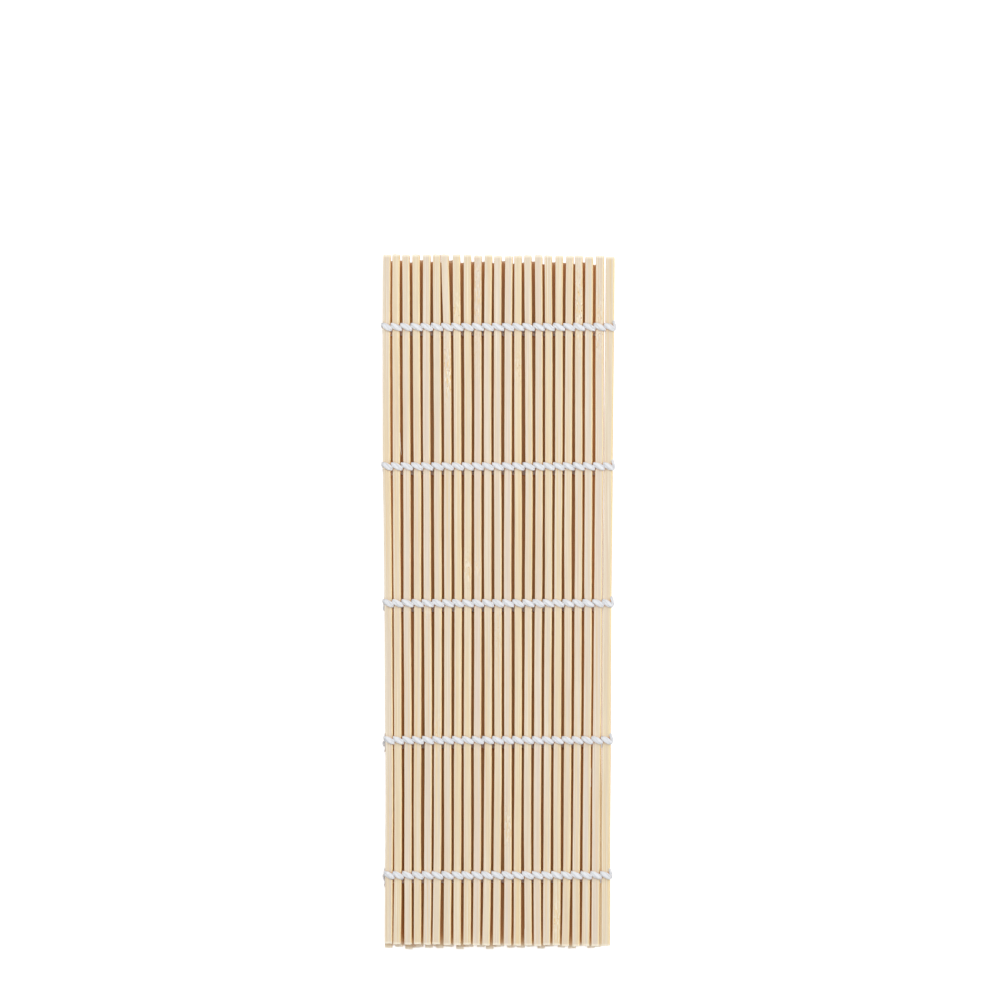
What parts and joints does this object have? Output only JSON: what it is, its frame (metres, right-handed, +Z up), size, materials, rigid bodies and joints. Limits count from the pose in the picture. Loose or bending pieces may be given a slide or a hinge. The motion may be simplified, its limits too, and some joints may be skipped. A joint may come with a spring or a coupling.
{
  "type": "sushi rolling mat",
  "caption": "Kitchen rolling mat of parallel bamboo slats bound side by side by rows of twined cotton cord; it folds up in thirds, opens flat and curls to roll food.",
  "frame": {"origin": "centre of the folded mat's bounding box, on the surface that it lies on", "axes": "+X across the slats, from the top third's fold to its free edge; +Y along the slats; +Z up, away from the table"},
  "size_m": [0.0814, 0.2426, 0.0128],
  "materials": {
    "bamboo": "split bamboo, planed and unvarnished, satin",
    "cotton_cord": "white two-ply cotton cord, matte"
  },
  "bodies": {
    "middle": {"middle_slats": "bamboo", "middle_cords": "cotton_cord"},
    "top_01": {"top_slats_01": "bamboo", "top_cords_01": "cotton_cord"},
    "top_02": {"top_slats_02": "bamboo", "top_cords_02": "cotton_cord"},
    "top_03": {"top_slats_03": "bamboo", "top_cords_03": "cotton_cord"},
    "top_04": {"top_slats_04": "bamboo", "top_cords_04": "cotton_cord"},
    "top_05": {"top_slats_05": "bamboo", "top_cords_05": "cotton_cord"},
    "top_06": {"top_slats_06": "bamboo", "top_cords_06": "cotton_cord"},
    "top_07": {"top_slats_07": "bamboo", "top_cords_07": "cotton_cord"},
    "top_08": {"top_slats_08": "bamboo", "top_cords_08": "cotton_cord"},
    "top_09": {"top_slats_09": "bamboo", "top_cords_09": "cotton_cord"},
    "top_10": {"top_slats_10": "bamboo", "top_cords_10": "cotton_cord"},
    "top_11": {"top_slats_11": "bamboo", "top_cords_11": "cotton_cord"},
    "top_12": {"top_slats_12": "bamboo", "top_cords_12": "cotton_cord"},
    "bottom_01": {"bottom_slats_01": "bamboo", "bottom_cords_01": "cotton_cord"},
    "bottom_02": {"bottom_slats_02": "bamboo", "bottom_cords_02": "cotton_cord"},
    "bottom_03": {"bottom_slats_03": "bamboo", "bottom_cords_03": "cotton_cord"},
    "bottom_04": {"bottom_slats_04": "bamboo", "bottom_cords_04": "cotton_cord"},
    "bottom_05": {"bottom_slats_05": "bamboo", "bottom_cords_05": "cotton_cord"},
    "bottom_06": {"bottom_slats_06": "bamboo", "bottom_cords_06": "cotton_cord"},
    "bottom_07": {"bottom_slats_07": "bamboo", "bottom_cords_07": "cotton_cord"},
    "bottom_08": {"bottom_slats_08": "bamboo", "bottom_cords_08": "cotton_cord"},
    "bottom_09": {"bottom_slats_09": "bamboo", "bottom_cords_09": "cotton_cord"},
    "bottom_10": {"bottom_slats_10": "bamboo", "bottom_cords_10": "cotton_cord", "edge_knots": "cotton_cord"}
  },
  "joints": [
    {"name": "fold_top", "type": "hinge", "parent": "middle", "child": "top_01", "pos_m": [-0.03995, 0, 0.00857], "axis": [0, -1, 0], "range_deg": [0, 179.5]},
    {"name": "curl_top", "type": "hinge", "parent": "top_01", "child": "top_02", "pos_m": [-0.03703, 0, 0.0111], "axis": [0, -1, 0], "range_deg": [0, 26]},
    {"name": "curl_top_02", "type": "hinge", "parent": "top_02", "child": "top_03", "pos_m": [-0.02999, 0, 0.0111], "axis": [0, -1, 0], "range_deg": [0, 26]},
    {"name": "curl_top_03", "type": "hinge", "parent": "top_03", "child": "top_04", "pos_m": [-0.02295, 0, 0.0111], "axis": [0, -1, 0], "range_deg": [0, 26]},
    {"name": "curl_top_04", "type": "hinge", "parent": "top_04", "child": "top_05", "pos_m": [-0.01591, 0, 0.0111], "axis": [0, -1, 0], "range_deg": [0, 26]},
    {"name": "curl_top_05", "type": "hinge", "parent": "top_05", "child": "top_06", "pos_m": [-0.00887, 0, 0.0111], "axis": [0, -1, 0], "range_deg": [0, 26]},
    {"name": "curl_top_06", "type": "hinge", "parent": "top_06", "child": "top_07", "pos_m": [-0.00183, 0, 0.0111], "axis": [0, -1, 0], "range_deg": [0, 26]},
    {"name": "curl_top_07", "type": "hinge", "parent": "top_07", "child": "top_08", "pos_m": [0.00521, 0, 0.0111], "axis": [0, -1, 0], "range_deg": [0, 26]},
    {"name": "curl_top_08", "type": "hinge", "parent": "top_08", "child": "top_09", "pos_m": [0.01225, 0, 0.0111], "axis": [0, -1, 0], "range_deg": [0, 26]},
    {"name": "curl_top_09", "type": "hinge", "parent": "top_09", "child": "top_10", "pos_m": [0.01929, 0, 0.0111], "axis": [0, -1, 0], "range_deg": [0, 26]},
    {"name": "curl_top_10", "type": "hinge", "parent": "top_10", "child": "top_11", "pos_m": [0.02633, 0, 0.0111], "axis": [0, -1, 0], "range_deg": [0, 26]},
    {"name": "curl_top_11", "type": "hinge", "parent": "top_11", "child": "top_12", "pos_m": [0.03337, 0, 0.0111], "axis": [0, -1, 0], "range_deg": [0, 26]},
    {"name": "fold_bottom", "type": "hinge", "parent": "middle", "child": "bottom_01", "pos_m": [0.03517, 0, 0.00422], "axis": [0, -1, 0], "range_deg": [0, 179.5]},
    {"name": "curl_bottom", "type": "hinge", "parent": "bottom_01", "child": "bottom_02", "pos_m": [0.02521, 0, 0.0017], "axis": [0, -1, 0], "range_deg": [0, 26]},
    {"name": "curl_bottom_02", "type": "hinge", "parent": "bottom_02", "child": "bottom_03", "pos_m": [0.01817, 0, 0.0017], "axis": [0, -1, 0], "range_deg": [0, 26]},
    {"name": "curl_bottom_03", "type": "hinge", "parent": "bottom_03", "child": "bottom_04", "pos_m": [0.01113, 0, 0.0017], "axis": [0, -1, 0], "range_deg": [0, 26]},
    {"name": "curl_bottom_04", "type": "hinge", "parent": "bottom_04", "child": "bottom_05", "pos_m": [0.00409, 0, 0.0017], "axis": [0, -1, 0], "range_deg": [0, 26]},
    {"name": "curl_bottom_05", "type": "hinge", "parent": "bottom_05", "child": "bottom_06", "pos_m": [-0.00295, 0, 0.0017], "axis": [0, -1, 0], "range_deg": [0, 26]},
    {"name": "curl_bottom_06", "type": "hinge", "parent": "bottom_06", "child": "bottom_07", "pos_m": [-0.00999, 0, 0.0017], "axis": [0, -1, 0], "range_deg": [0, 26]},
    {"name": "curl_bottom_07", "type": "hinge", "parent": "bottom_07", "child": "bottom_08", "pos_m": [-0.01703, 0, 0.0017], "axis": [0, -1, 0], "range_deg": [0, 26]},
    {"name": "curl_bottom_08", "type": "hinge", "parent": "bottom_08", "child": "bottom_09", "pos_m": [-0.02407, 0, 0.0017], "axis": [0, -1, 0], "range_deg": [0, 26]},
    {"name": "curl_bottom_09", "type": "hinge", "parent": "bottom_09", "child": "bottom_10", "pos_m": [-0.03111, 0, 0.0017], "axis": [0, -1, 0], "range_deg": [0, 26]}
  ],
  "couplings": [
    {"joint": "curl_top_02", "follows": "curl_top", "ratio": 1},
    {"joint": "curl_top_03", "follows": "curl_top", "ratio": 1},
    {"joint": "curl_top_04", "follows": "curl_top", "ratio": 1},
    {"joint": "curl_top_05", "follows": "curl_top", "ratio": 1},
    {"joint": "curl_top_06", "follows": "curl_top", "ratio": 1},
    {"joint": "curl_top_07", "follows": "curl_top", "ratio": 1},
    {"joint": "curl_top_08", "follows": "curl_top", "ratio": 1},
    {"joint": "curl_top_09", "follows": "curl_top", "ratio": 1},
    {"joint": "curl_top_10", "follows": "curl_top", "ratio": 1},
    {"joint": "curl_top_11", "follows": "curl_top", "ratio": 1},
    {"joint": "curl_bottom_02", "follows": "curl_bottom", "ratio": 1},
    {"joint": "curl_bottom_03", "follows": "curl_bottom", "ratio": 1},
    {"joint": "curl_bottom_04", "follows": "curl_bottom", "ratio": 1},
    {"joint": "curl_bottom_05", "follows": "curl_bottom", "ratio": 1},
    {"joint": "curl_bottom_06", "follows": "curl_bottom", "ratio": 1},
    {"joint": "curl_bottom_07", "follows": "curl_bottom", "ratio": 1},
    {"joint": "curl_bottom_08", "follows": "curl_bottom", "ratio": 1},
    {"joint": "curl_bottom_09", "follows": "curl_bottom", "ratio": 1}
  ]
}
